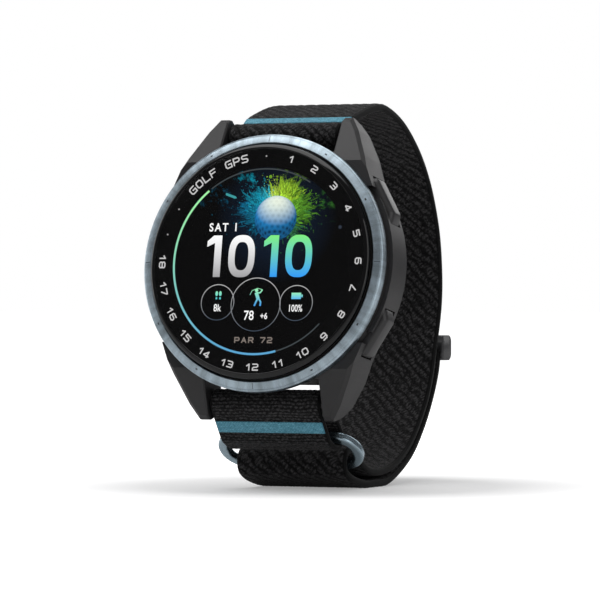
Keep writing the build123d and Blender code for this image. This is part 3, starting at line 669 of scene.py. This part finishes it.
class Marks:
    """Flat marks on the dial, gathered into one piece."""

    def __init__(self):
        self.points, self.faces, self.colours = [], [], []

    def add(self, points, faces, colour, z=INK_Z):
        """Points are (x, y) on the dial; colour is fixed or a function of (x, y)."""
        first = len(self.points)
        self.points += [(x, y, z) for x, y in points]
        self.faces += [tuple(first + i for i in f) for f in faces]
        self.colours += [(*(colour(x, y) if callable(colour) else colour), 1) for x, y in points]

    def shape(self, outline, colour, z=INK_Z):
        self.add(outline, [tuple(range(len(outline)))], colour, z)

    def line(self, path, width, colour, closed=False, z=INK_Z):
        """A stroke of a given width along a path, with flat ends."""
        p = np.array(path, float)
        side = left_of(p, closed) * width / 2
        n = len(p)
        self.add(
            [*map(tuple, p + side), *map(tuple, p - side)],
            [(i, (i + 1) % n, n + (i + 1) % n, n + i) for i in range(n if closed else n - 1)],
            colour, z,
        )

    def stroke(self, path, width, colour, z=INK_Z):
        """A stroke with square corners: one bar for each run, run on by half its width."""
        for a, b in zip(path, path[1:]):
            a, b = np.array(a, float), np.array(b, float)
            ahead = (b - a) / np.linalg.norm(b - a) * width / 2
            side = np.array([-ahead[1], ahead[0]])
            a, b = a - ahead * 0.8, b + ahead * 0.8
            corners = [a + side, b + side, b - side, a - side]
            self.add([tuple(p) for p in corners], [(3, 2, 1, 0)], colour, z)

    def arc(self, centre, radius, start_angle, end_angle, width, colour, step=2.0):
        closed = abs(end_angle - start_angle) >= 360
        line = on_circle(centre, radius, start_angle, end_angle - (step if closed else 0), step)
        self.line(line, width, colour, closed)

    def text(self, words, centre, height, colour, weight=0.0, stretch=1.0, spacing=1.0, turn=0.0):
        """Words with a given capital height, centred on a point and turned on it."""
        curve = bpy.data.curves.new("words", "FONT")
        curve.body = words
        curve.offset = weight
        curve.space_character = spacing
        curve.resolution_u = 4
        holder = link(bpy.data.objects.new("words", curve))
        graph = bpy.context.evaluated_depsgraph_get()
        mesh = bpy.data.meshes.new_from_object(holder.evaluated_get(graph))
        p = np.array([v.co[:2] for v in mesh.vertices])
        middle = (p.min(0) + p.max(0)) / 2
        p = (p - middle) * height / CAP_HEIGHT * (stretch, 1)
        c, s = cos(radians(turn)), sin(radians(turn))
        p = p @ np.array([[c, s], [-s, c]]) + centre
        self.add([tuple(q) for q in p], [tuple(f.vertices) for f in mesh.polygons], colour)
        bpy.data.objects.remove(holder)
        bpy.data.curves.remove(curve)
        bpy.data.meshes.remove(mesh)

    def build(self, name, material):
        made = piece(name, self.points, self.faces, material, "watch_head", dial_matrix, smooth=False)
        point_colour(made.data, "ink", self.colours)
        return made


CAP_HEIGHT = 0.73
WHITE = (0.90, 0.90, 0.90)
BRIGHT = (0.80, 0.80, 0.80)
PALE = (0.55, 0.55, 0.55)
MINT = (0.30, 0.80, 0.45)
BLUE = (0.04, 0.35, 0.90)


def blend_colours(low, high, bottom, top):
    """Colour that runs up the dial from one height to another."""
    def colour(x, y):
        t = min(1, max(0, (y - bottom) / (top - bottom)))
        return tuple(a + (b - a) * t for a, b in zip(low, high))
    return colour


def clock(angle, radius=NUMBER_R):
    return radius * sin(radians(angle)), radius * cos(radians(angle))


STROKES = {
    "0": [[(0.2, 0), (0.8, 0), (1, 0.2), (1, 0.8), (0.8, 1), (0.2, 1), (0, 0.8), (0, 0.2), (0.2, 0)]],
    "1": [[(0.1, 0.72), (0.55, 1), (0.55, 0)]],
    "2": [[(0, 1), (0.8, 1), (1, 0.85), (1, 0.65), (0.8, 0.5), (0.2, 0.45), (0, 0.3), (0, 0), (1, 0)]],
    "3": [[(0, 1), (0.8, 1), (1, 0.85), (1, 0.6), (0.85, 0.5), (0.3, 0.5)],
          [(0.85, 0.5), (1, 0.4), (1, 0.15), (0.8, 0), (0, 0)]],
    "4": [[(0.7, 0), (0.7, 1), (0, 0.3), (0, 0.22), (1, 0.22)]],
    "5": [[(1, 1), (0, 1), (0, 0.58), (0.8, 0.58), (1, 0.42), (1, 0.15), (0.8, 0), (0, 0)]],
    "6": [[(0.95, 1), (0.2, 1), (0, 0.8), (0, 0.2), (0.2, 0), (0.8, 0), (1, 0.2), (1, 0.4), (0.8, 0.56), (0, 0.56)]],
    "7": [[(0, 1), (1, 1), (1, 0.85), (0.4, 0)]],
    "8": [[(0.2, 0.5), (0, 0.62), (0, 0.85), (0.2, 1), (0.8, 1), (1, 0.85), (1, 0.62), (0.8, 0.5), (0.2, 0.5)],
          [(0.2, 0.5), (0, 0.38), (0, 0.15), (0.2, 0), (0.8, 0), (1, 0.15), (1, 0.38), (0.8, 0.5)]],
    "9": [[(0.05, 0), (0.8, 0), (1, 0.2), (1, 0.8), (0.8, 1), (0.2, 1), (0, 0.8), (0, 0.6), (0.2, 0.44), (1, 0.44)]],
    "A": [[(0, 0), (0.5, 1), (1, 0)], [(0.2, 0.32), (0.8, 0.32)]],
    "F": [[(0, 0), (0, 1), (1, 1)], [(0, 0.52), (0.85, 0.52)]],
    "G": [[(1, 1), (0.2, 1), (0, 0.8), (0, 0.2), (0.2, 0), (1, 0), (1, 0.5), (0.5, 0.5)]],
    "L": [[(0, 1), (0, 0), (1, 0)]],
    "O": [[(0.2, 0), (0.8, 0), (1, 0.2), (1, 0.8), (0.8, 1), (0.2, 1), (0, 0.8), (0, 0.2), (0.2, 0)]],
    "P": [[(0, 0), (0, 1), (0.8, 1), (1, 0.85), (1, 0.58), (0.8, 0.42), (0, 0.42)]],
    "R": [[(0, 0), (0, 1), (0.8, 1), (1, 0.85), (1, 0.6), (0.8, 0.45), (0, 0.45)], [(0.6, 0.45), (1, 0)]],
    "S": [[(1, 1), (0.2, 1), (0, 0.85), (0, 0.65), (0.2, 0.52), (0.8, 0.48), (1, 0.35), (1, 0.15), (0.8, 0), (0, 0)]],
}
ADVANCE = {"1": 0.85, " ": 0.6}


def extended(marks, words, centre, height, width, stroke, gap, colour, turn=0.0):
    """Words in a wide technical face, each letter drawn with strokes."""
    widths = [width * ADVANCE.get(c, 1.0) for c in words]
    at = -(sum(widths) + gap * (len(words) - 1)) / 2
    c, s = cos(radians(turn)), sin(radians(turn))
    for letter, wide in zip(words, widths):
        for path in STROKES.get(letter, []):
            placed = []
            for u, v in path:
                x, y = at + stroke / 2 + u * (width - stroke), (v - 0.5) * (height - stroke)
                placed.append((centre[0] + x * c - y * s, centre[1] + x * s + y * c))
            marks.stroke(placed, stroke, colour)
        at += wide + gap


def make_numbers():
    marks = Marks()
    for number in range(1, 19):
        angle = 15 * number
        turn = -angle if number < 7 else 180 - angle
        extended(marks, str(number), clock(angle), 1.18, 1.12, 0.21, 0.2, BRIGHT, turn)
    for angle in (0, 285, 300):
        marks.shape([tuple(p) for p in on_circle(clock(angle), 0.14, 0, 350, 20)], PALE)
    words = "GOLF GPS"
    for k, letter in enumerate(words):
        angle = 330 + (k - (len(words) - 1) / 2) * 4.9
        extended(marks, letter, clock(angle), 1.35, 1.25, 0.23, 0, BRIGHT, -angle)
    # The printed marks glow: painted light standing in for the lamps' light on them.
    marks.build("hour_marks", ink("printed_marks_painted_glow", 0.75))


def zero(marks, x, y, width, height, stroke, colour):
    """The digit 0: a ring between two rounded outlines."""
    def oval(w, h):
        power = 2.6
        return [
            (x + w / 2 * abs(cos(a)) ** (2 / power) * np.sign(cos(a)),
             y + h / 2 * abs(sin(a)) ** (2 / power) * np.sign(sin(a)))
            for a in np.linspace(0, tau, 48, endpoint=False)
        ]
    outer, inner = oval(width, height), oval(width - 2 * stroke, height - 2 * stroke)
    faces = [(i, (i + 1) % 48, 48 + (i + 1) % 48, 48 + i) for i in range(48)]
    marks.add([*outer, *inner], faces, colour)


def one(marks, x, y, height, stroke, colour):
    """The digit 1: a stem whose top runs down into a flag."""
    top, low = y + height / 2, y - height / 2
    right, left, flag = x, x - stroke, x - 2.62
    steps = np.linspace(low, top, 12)
    for a, b in zip(steps, steps[1:]):
        marks.add([(left, a), (right, a), (right, b), (left, b)], [(0, 1, 2, 3)], colour)
    marks.shape([(left, top), (left, top - 1.25), (flag, top - 1.9), (flag, top - 0.95), (left - 0.25, top)],
                colour)


def make_screen_marks():
    marks = Marks()
    silver = blend_colours((0.33, 0.33, 0.34), (0.95, 0.95, 0.95), -2.6, 4.3)
    lit = blend_colours((0.03, 0.30, 0.85), (0.20, 0.80, 0.20), -2.6, 4.3)
    for x, colour in ((-6.95, silver), (3.3, lit)):
        one(marks, x, 0.85, 6.94, 1.25, colour)
        zero(marks, x + 3.7, 0.85, 4.75, 7.05, 1.16, colour)
    marks.text("SAT 1", (-6.95, 5.7), 1.4, WHITE, 0.02, 0.88, 1.3)
    ring = blend_colours((0.10, 0.35, 0.60), (0.35, 0.85, 0.35), -15, 12)
    marks.arc((0, 0), 15.43, 130, 285, 0.35, ring)
    faint = (0.045, 0.055, 0.06)
    marks.arc((0, 0), 15.43, 285, 318, 0.22, faint)
    marks.arc((0, 0), 15.43, 58, 128, 0.22, faint)
    for (x, y), r in (((-0.12, -7.2), 4.4), ((-7.0, -6.85), 2.95), ((7.1, -6.95), 2.9)):
        marks.arc((x, y), r, 0, 360, 0.12, blend_colours((0.05, 0.07, 0.1), (0.5, 0.5, 0.5), y - r, y + r), 4.0)
    marks.text("8k", (-6.95, -7.75), 1.25, WHITE, 0.01, 0.8)
    marks.text("78", (-1.2, -9.0), 1.6, WHITE, 0.01, 0.85)
    marks.text("+6", (1.5, -9.1), 1.05, WHITE, 0.015, 0.85)
    marks.text("100%", (7.1, -7.8), 1.2, WHITE, 0.01, 0.72)
    extended(marks, "PAR 72", (-0.1, -13.1), 1.0, 0.95, 0.2, 0.3, (0.20, 0.17, 0.15))
    level = blend_colours(BLUE, MINT, -6.6, -5.2)
    marks.shape([(6.2, -6.3), (7.9, -6.3), (7.9, -5.25), (6.2, -5.25)], level)
    marks.shape([(7.95, -6.0), (8.2, -6.0), (8.2, -5.55), (7.95, -5.55)], level)
    tone = blend_colours((0.05, 0.5, 0.6), MINT, -6.5, -4.7)
    for x, y in ((-7.25, -5.4), (-6.6, -5.4)):
        marks.shape([(x + 0.24 * cos(a), y + 0.42 * sin(a)) for a in np.linspace(0, tau, 20, endpoint=False)], tone)
        marks.shape([(x + 0.16 * cos(a), y - 0.78 + 0.2 * sin(a)) for a in np.linspace(0, tau, 16, endpoint=False)], tone)
    golfer = blend_colours((0.05, 0.3, 0.75), MINT, -7.4, -4.8)
    marks.shape([(-0.1 + 0.3 * cos(a), -4.85 + 0.3 * sin(a)) for a in np.linspace(0, tau, 20, endpoint=False)], golfer)
    strokes = (
        ([(-0.15, -5.2), (0.25, -6.2)], 0.6), ([(0.25, -6.1), (-0.1, -6.8), (-0.35, -7.45)], 0.3),
        ([(0.3, -6.1), (0.75, -6.8), (0.7, -7.45)], 0.3), ([(-0.1, -5.3), (0.55, -5.25), (0.95, -4.75)], 0.24),
        ([(0.95, -4.75), (0.1, -4.5), (-0.9, -4.9), (-1.25, -5.6)], 0.1),
    )
    for path, width in strokes:
        marks.line(path, width, golfer)
    marks.build("screen_marks", ink("screen_ink", 1.15))


def screen_picture():
    """Lit screen: near black, with bursts of coloured dust round the spot where the ball sits."""
    material, tree, bsdf = start("screen_picture")
    shifted = node(tree, "VectorMath", {0: place(tree), 1: tuple(dial_centre)}, operation="SUBTRACT").outputs[0]
    along = [node(tree, "VectorMath", {0: shifted, 1: tuple(axis / MM)}, operation="DOT_PRODUCT").outputs["Value"]
             for axis in (dial_x, dial_y)]
    x = math(tree, "SUBTRACT", along[0], BALL[0])
    y = math(tree, "SUBTRACT", along[1], BALL[1])
    radius = math(tree, "SQRT", math(tree, "ADD", math(tree, "POWER", x, 2.0), math(tree, "POWER", y, 2.0)))
    angle = math(tree, "ARCTAN2", y, x)
    polar = node(tree, "CombineXYZ", {"X": math(tree, "COSINE", angle), "Y": math(tree, "SINE", angle),
                                      "Z": math(tree, "MULTIPLY", radius, 0.08)}).outputs[0]
    rays = node(tree, "TexNoise", {"Vector": polar, "Scale": 7.0, "Detail": 6.0, "Roughness": 0.75}).outputs["Fac"]
    flat = node(tree, "CombineXYZ", {"X": x, "Y": y}).outputs[0]
    dust = node(tree, "TexNoise", {"Vector": flat, "Scale": 1.6, "Detail": 8.0, "Roughness": 0.8}).outputs["Fac"]
    total = None
    bursts = (
        (58, 40, 7.0, (0.30, 0.62, 0.02)), (82, 22, 6.0, (0.45, 0.80, 0.06)), (18, 34, 6.6, (0.06, 0.30, 0.03)),
        (128, 30, 6.2, (0.0, 0.36, 0.50)), (160, 34, 7.2, (0.0, 0.16, 0.30)),
    )
    for heading, width, reach, colour in bursts:
        off = math(tree, "COSINE", math(tree, "SUBTRACT", angle, radians(heading)))
        cone = spread(tree, off, cos(radians(width)), 1.0, 0.0, 1.0)
        near = spread(tree, radius, 3.2, reach, 1.0, 0.0)
        edge = math(tree, "MULTIPLY", math(tree, "ADD", near, math(tree, "MULTIPLY", cone, 0.4)), cone)
        grown = math(tree, "SUBTRACT", math(tree, "ADD", math(tree, "MULTIPLY", rays, 1.3), edge), 1.05)
        lit = math(tree, "MULTIPLY", spread(tree, grown, 0.0, 0.35, 0.0, 1.0), spread(tree, dust, 0.35, 0.65, 0.25, 1.5))
        colours = {"Fac": lit, "Color1": (0, 0, 0, 1), "Color2": (*colour, 1)}
        layer = node(tree, "MixRGB", colours, use_clamp=False).outputs[0]
        both = {"Fac": 1.0, "Color1": total, "Color2": layer}
        total = layer if total is None else node(tree, "MixRGB", both, blend_type="ADD").outputs[0]
    glow = math(tree, "MULTIPLY", spread(tree, radius, 2.5, 11.0, 1.0, 0.0), spread(tree, dust, 0.3, 0.7, 0.6, 1.2))
    haze = node(tree, "MixRGB", {"Fac": glow, "Color1": (0, 0, 0, 1), "Color2": (0.004, 0.012, 0.030, 1)}).outputs[0]
    total = node(tree, "MixRGB", {"Fac": 1.0, "Color1": total, "Color2": haze}, blend_type="ADD").outputs[0]
    tree.links.new(total, bsdf.inputs["Emission Color"])
    bsdf.inputs["Emission Strength"].default_value = 1.1
    bsdf.inputs["Base Color"].default_value = (0, 0, 0, 1)
    bsdf.inputs["Roughness"].default_value = 0.3
    bsdf.inputs["Specular IOR Level"].default_value = 0.0
    return material


BALL = (2.4, 7.15)
BALL_R = 3.75


def make_ball():
    """The golf ball on the screen: a shaded disc with rows of dimples drawn into it."""
    marks = Marks()
    rings = 26
    points, faces = [BALL], []
    for r in range(1, rings + 1):
        points += [(BALL[0] + BALL_R * r / rings * cos(a), BALL[1] + BALL_R * r / rings * sin(a))
                   for a in np.linspace(0, tau, 96, endpoint=False)]
    faces += [(0, 1 + i, 1 + (i + 1) % 96) for i in range(96)]
    for r in range(rings - 1):
        a, b = 1 + r * 96, 1 + (r + 1) * 96
        faces += [(a + i, b + i, b + (i + 1) % 96, a + (i + 1) % 96) for i in range(96)]
    sun = np.array([-0.12, 0.78, 0.61])

    def colour(px, py):
        u, v = (px - BALL[0]) / BALL_R, (py - BALL[1]) / BALL_R
        w = sqrt(max(0, 1 - u * u - v * v))
        lat, lon = np.arcsin(np.clip(v * 0.9 - w * 0.35, -1, 1)), atan2(u, w + 0.35 * v)
        row = lat / 0.235
        column = lon * cos(lat) / 0.26 + 0.5 * (round(row) % 2)
        dimple = max(0, 1 - 2.1 * hypot(row - round(row), column - round(column)))
        light = max(0, float(sun @ (u, v, w)))
        shade = 0.28 + 0.66 * light - 0.30 * dimple * (1 - 0.55 * light)
        cream, deep = np.array([0.80, 0.86, 0.70]), np.array([0.02, 0.30, 0.74])
        tone = deep + (cream - deep) * min(1, max(0, light * 1.35 - 0.4 + 0.22 * u))
        return tuple(np.clip(tone * shade * 1.15, 0, 1))

    marks.add(points, faces, colour, INK_Z - 0.02)
    marks.build("screen_ball", ink("screen_ball", 1.1))


def make_splash():
    """Paint thrown from behind the ball: tapered shards and drops in bursts of colour."""
    marks = Marks()
    dice = np.random.RandomState(11)
    bursts = (
        (72, 26, 330, 3.4, (0.42, 0.74, 0.04)), (96, 14, 90, 2.7, (0.60, 0.82, 0.10)),
        (30, 26, 300, 3.3, (0.14, 0.42, 0.03)), (8, 24, 170, 2.6, (0.07, 0.24, 0.02)),
        (140, 24, 260, 2.8, (0.01, 0.36, 0.52)), (118, 12, 90, 2.4, (0.04, 0.50, 0.60)),
        (172, 22, 170, 2.6, (0.005, 0.17, 0.30)), (-34, 26, 110, 2.2, (0.03, 0.16, 0.06)),
        (205, 24, 90, 2.0, (0.0, 0.09, 0.17)),
    )
    for heading, width, count, reach, colour in bursts:
        for _ in range(count):
            angle = radians(heading + dice.normal(0, width * 0.55))
            begin = BALL_R * dice.uniform(0.75, 1.0) + dice.gamma(1.3, reach / 3.6)
            long = dice.gamma(1.6, reach / 7)
            half = dice.uniform(0.03, 0.2)
            out, side = np.array([cos(angle), sin(angle)]), np.array([-sin(angle), cos(angle)]) * half
            bend = side * dice.normal(0, 3.0)
            base = np.array(BALL) + out * begin
            light = dice.uniform(0.2, 1.0) * max(0.25, 1.25 - (begin - BALL_R) / (1.3 * reach))
            near = tuple(c * light for c in colour)
            far = tuple(c * light * 0.3 for c in colour)
            tip = base + out * long + bend
            middle = base + out * long * 0.5
            if hypot(*tip) > 15.0:
                continue
            first = len(marks.points)
            spots = (base - side, base + side, middle + side * 0.8, middle - side * 0.8, tip)
            marks.points += [(x, y, INK_Z - 0.035) for x, y in spots]
            marks.colours += [(*c, 1) for c in (near, near, near, near, far)]
            marks.faces += [(first, first + 1, first + 2, first + 3), (first + 3, first + 2, first + 4)]
        for _ in range(count // 4):
            angle = radians(heading + dice.normal(0, width * 0.7))
            away = BALL_R + dice.gamma(2.4, reach / 2.6)
            spot = np.array(BALL) + away * np.array([cos(angle), sin(angle)])
            if hypot(*spot) < 14.8:
                size = dice.uniform(0.03, 0.1)
                light = dice.uniform(0.4, 1.1)
                marks.shape([tuple(p) for p in on_circle(spot, size, 0, 315, 45)],
                            tuple(c * light for c in colour), INK_Z - 0.035)
    streak = np.array([-6.0, 10.95])
    along, over = np.array([0.95, -0.3]), np.array([0.3, 0.95])
    marks.shape([tuple(streak + along * u + over * v) for u, v in
                 ((-1.0, 0.05), (-0.9, 0.25), (0.9, 0.22), (1.25, 0.0), (0.9, -0.2), (-0.8, -0.15))],
                (0.05, 0.34, 0.36), INK_Z - 0.035)
    marks.shape([tuple(p) for p in on_circle((14.0, 5.6), 0.3, 0, 340, 20)], (0.03, 0.04, 0.06), INK_Z - 0.035)
    marks.shape([tuple(p) for p in on_circle((1.0, 14.1), 0.3, 0, 340, 20)], (0.16, 0.36, 0.02), INK_Z - 0.035)
    marks.build("screen_splash", ink("screen_splash", 1.0))


make_screen_marks()
make_ball()
make_splash()
make_numbers()
make_head()
main_textiles()

# ---------------------------------------------------------------- carried-over pieces

finishes = {
    "case": moulded("case_polymer", (0.028, 0.027, 0.028), 0.46),
    "button": moulded("button_coat", (0.038, 0.037, 0.038), 0.36, 9.0, 0.003),
    "cover": moulded("rear_polymer", (0.040, 0.040, 0.042), 0.52),
    "number_ring": moulded("printed_black", (0.002, 0.002, 0.002), 0.5, 3.0, 0.0005, 0.0),
    "seal_rubber": moulded("seal_rubber", (0.02, 0.02, 0.02), 0.7),
    "frame_plastic": moulded("inner_plastic", (0.03, 0.03, 0.033), 0.55),
    "flex": moulded("polyimide", (0.45, 0.20, 0.04), 0.35, 2.0, 0.003),
    "board": moulded("solder_mask", (0.01, 0.09, 0.05), 0.35, 2.5, 0.01),
    "shield": metal("tinned_shield", (0.62, 0.63, 0.65), 0.3),
    "antenna": moulded("fired_ceramic", (0.66, 0.58, 0.42), 0.35, 4.0, 0.004),
    "battery": metal("foil_pouch", (0.55, 0.57, 0.60), 0.45, (1.5, 1.5, 1.5), 0.03),
    "foam": moulded("foam_pad", (0.08, 0.08, 0.08), 0.9, 3.0, 0.08),
    "steel": metal("stainless", (0.60, 0.61, 0.63), 0.28),
    "sensor_glass": clear_glass("sensor_glass", (0.16, 0.16, 0.18), 0.02),
    "led": moulded("emitter", (0.10, 0.60, 0.20), 0.25, 5.0, 0.002),
    "contact": metal("gold_contact", (0.85, 0.62, 0.25), 0.22),
    "ring_metal": metal("satin_ring", (0.44, 0.56, 0.63), 0.26, (600.0, 6000.0, 6000.0)),
    "hook": moulded("hook_tape", (0.012, 0.012, 0.012), 0.7, 3.0, 0.12),
    "tab": moulded("tab_rubber", (0.045, 0.045, 0.047), 0.5),
    "display": screen_picture(),
}
slots = {s["node"]: s["material_slot"] for s in frame["record"]["subparts"]}
for name, obj in frame["nodes"].items():
    if slots[name] in finishes:
        obj.data.materials.clear()
        obj.data.materials.append(finishes[slots[name]])
for side in ("upper", "lower"):
    softened(side + "_button", finishes["button"], side + "_button", 0.3)
softened("end_tab", finishes["tab"], "flap", 0.3, longest=1.0)

# ---------------------------------------------------------------- studio

YAW = radians(23.585)
PITCH = radians(0.0802)
lens_data = bpy.data.cameras.new("camera")
lens_data.lens = 240
lens_data.sensor_width = 36
lens_data.clip_end = 10
camera = link(bpy.data.objects.new("camera", lens_data))
camera.location = dial_centre + Vector((268.55, -598.65, -5.41)) * MM
camera.rotation_euler = (pi / 2 - PITCH, 0, YAW)
bpy.context.scene.camera = camera


def area(name, place_mm, size, power, colour=(1, 1, 1)):
    light = bpy.data.lights.new(name, "AREA")
    light.shape = "RECTANGLE"
    light.size, light.size_y = size[0] * MM, size[1] * MM
    light.energy = power
    light.color = colour
    holder = link(bpy.data.objects.new(name, light))
    holder.location = Vector(place_mm) * MM
    target = Vector((0, 0, 32)) * MM
    holder.rotation_euler = (target - holder.location).to_track_quat("-Z", "Y").to_euler()


area("top_light", (-60, -60, 420), (420, 420), 1.2)
area("right_light", (420, -260, 140), (300, 500), 0.5)
area("left_light", (-420, 60, 110), (300, 500), 0.6)
area("back_light", (60, 420, 260), (420, 300), 0.5)

world = bpy.data.worlds.new("studio")
world.use_nodes = True
bpy.context.scene.world = world
sky = world.node_tree
background = sky.nodes["Background"]
seen = node(sky, "LightPath").outputs["Is Camera Ray"]
tone = node(sky, "MixRGB", {"Fac": seen, "Color1": (0.13, 0.13, 0.135, 1), "Color2": (1, 1, 1, 1)}).outputs[0]
sky.links.new(tone, background.inputs["Color"])

# The floor glows pure white with distance and less near the watch: a painted soft shadow, added to the real shadow
# that its pale diffuse part takes.
floor_material, floor_tree, floor_bsdf = start("pale_floor")
floor_bsdf.inputs["Base Color"].default_value = (0.7, 0.7, 0.7, 1)
floor_bsdf.inputs["Roughness"].default_value = 0.9
floor_bsdf.inputs["Specular IOR Level"].default_value = 0.0
floor_parts = node(floor_tree, "SeparateXYZ", {0: place(floor_tree)}).outputs
floor_far = math(floor_tree, "SQRT", math(floor_tree, "ADD", math(floor_tree, "POWER", floor_parts["X"], 2.0),
                                          math(floor_tree, "POWER", floor_parts["Y"], 2.0)))
# Emission 0.3 near the watch rising to 1.1 far off: painted shadow near, evenly white far.
floor_glow_and_painted_shadow = spread(floor_tree, floor_far, 0.03, 0.085, 0.3, 1.1)
floor_seen = node(floor_tree, "LightPath").outputs["Is Camera Ray"]
floor_tone = node(floor_tree, "Mix", {"Factor": floor_seen, "A": 0.05, "B": floor_glow_and_painted_shadow}).outputs["Result"]
floor_tree.links.new(floor_tone, floor_bsdf.inputs["Emission Strength"])
floor_bsdf.inputs["Emission Color"].default_value = (1, 1, 1, 1)
floor_mesh = bpy.data.meshes.new("floor")
FLOOR = 6.0
floor_corners = [(-FLOOR, -FLOOR, 0), (FLOOR, -FLOOR, 0), (FLOOR, FLOOR, 0), (-FLOOR, FLOOR, 0)]
floor_mesh.from_pydata(floor_corners, [], [(0, 1, 2, 3)])
floor_mesh.materials.append(floor_material)
floor = link(bpy.data.objects.new("floor", floor_mesh))
floor.location.z = -0.00002
bpy.context.scene.view_settings.view_transform = "Standard"
